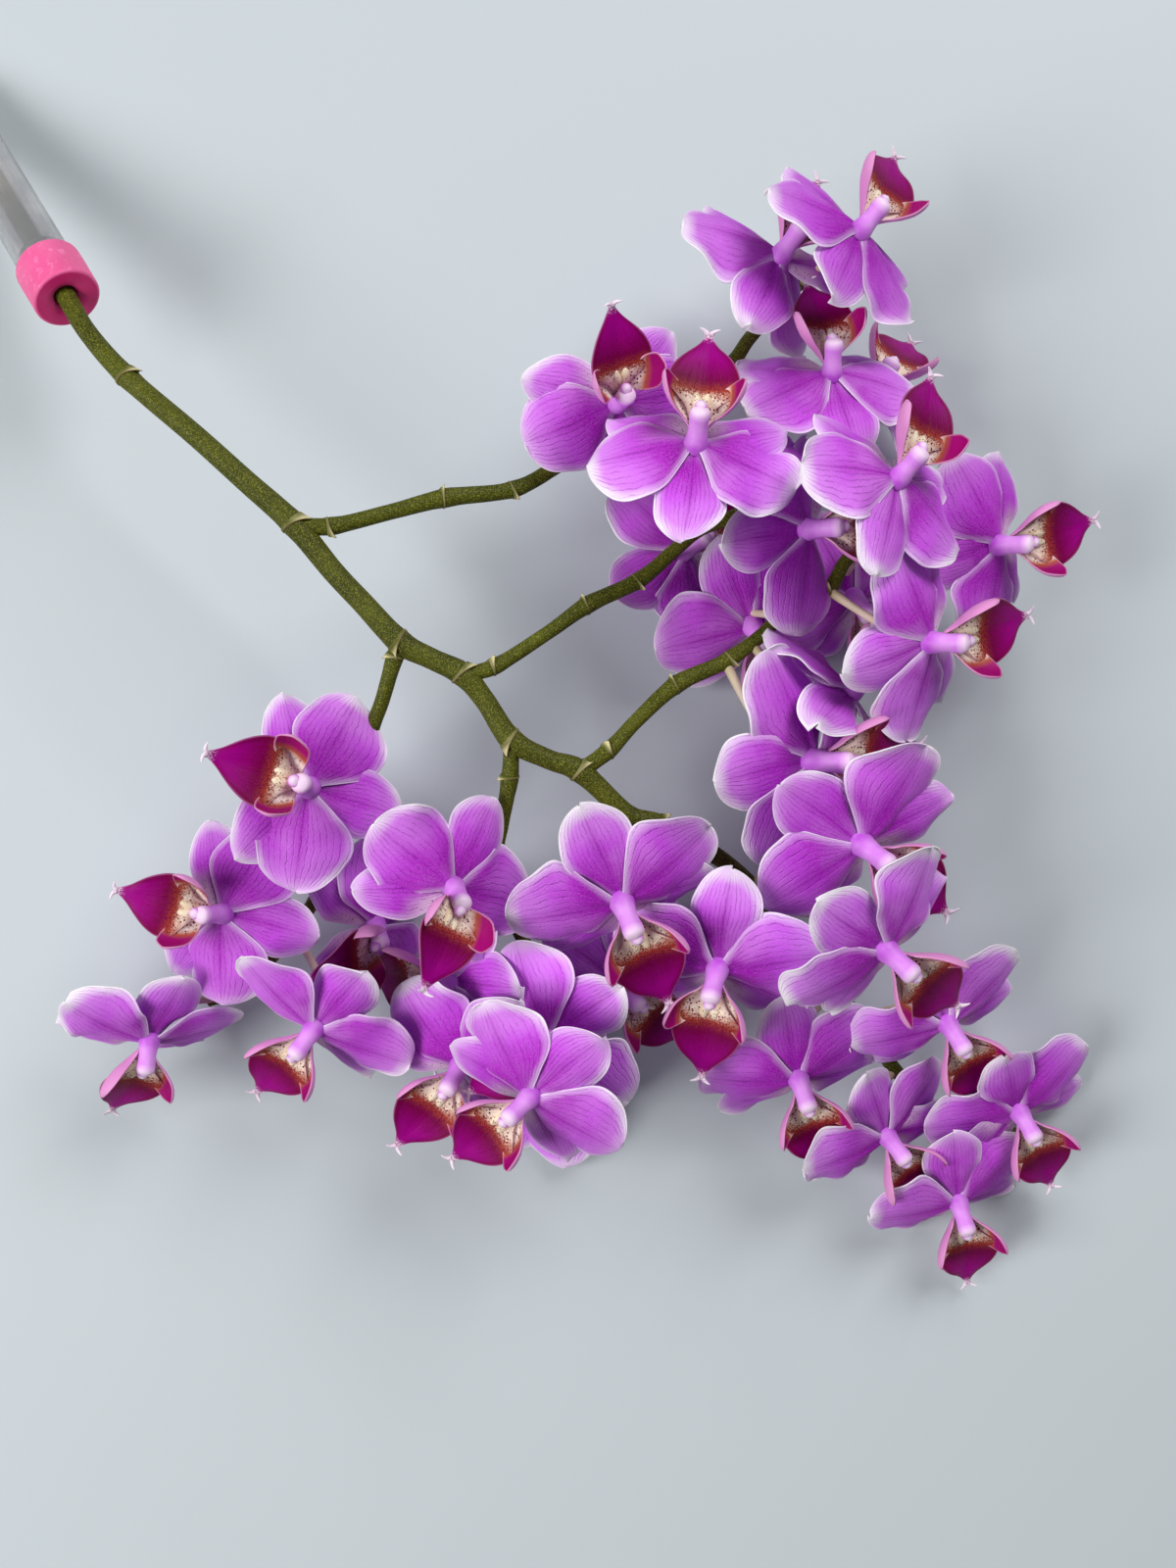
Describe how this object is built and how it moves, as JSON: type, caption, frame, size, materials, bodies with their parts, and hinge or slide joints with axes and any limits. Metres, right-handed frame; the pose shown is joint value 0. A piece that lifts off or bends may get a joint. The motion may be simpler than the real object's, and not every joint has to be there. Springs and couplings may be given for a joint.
{
  "type": "moth orchid spray",
  "caption": "Cut, branched spray of a small-flowered moth orchid in full bloom, lying down, with its stem's cut end in a capped water tube.",
  "frame": {"origin": "centre of the bounding box's footprint, on the surface that the spray lies on", "axes": "+Z up from the surface; +Y toward the end with the water tube and the upper branch; +X to the right as seen from above with +Y up"},
  "size_m": [0.3552, 0.3718, 0.088],
  "materials": {
    "stem": "satin",
    "petals": "satin",
    "cap": "matte",
    "tube": "clear gloss",
    "water": "clear"
  },
  "bodies": {
    "root": {"flower_stem": "stem", "tube_cap": "cap", "water_tube": "tube", "water": "water", "bloom_01": "petals", "bloom_02": "petals", "bloom_03": "petals", "bloom_04": "petals", "bloom_05": "petals", "bloom_06": "petals", "bloom_07": "petals", "bloom_08": "petals", "bloom_09": "petals", "bloom_10": "petals", "bloom_11": "petals", "bloom_12": "petals", "bloom_13": "petals", "bloom_14": "petals", "bloom_15": "petals", "bloom_16": "petals", "bloom_17": "petals", "bloom_18": "petals", "bloom_19": "petals", "bloom_20": "petals", "bloom_21": "petals", "bloom_22": "petals", "bloom_23": "petals", "bloom_24": "petals", "bloom_25": "petals", "bloom_26": "petals", "bloom_27": "petals", "bloom_28": "petals", "bloom_29": "petals", "bloom_30": "petals", "bloom_31": "petals", "bloom_32": "petals", "bloom_33": "petals", "bloom_34": "petals", "bloom_35": "petals", "bloom_36": "petals"}
  },
  "joints": []
}
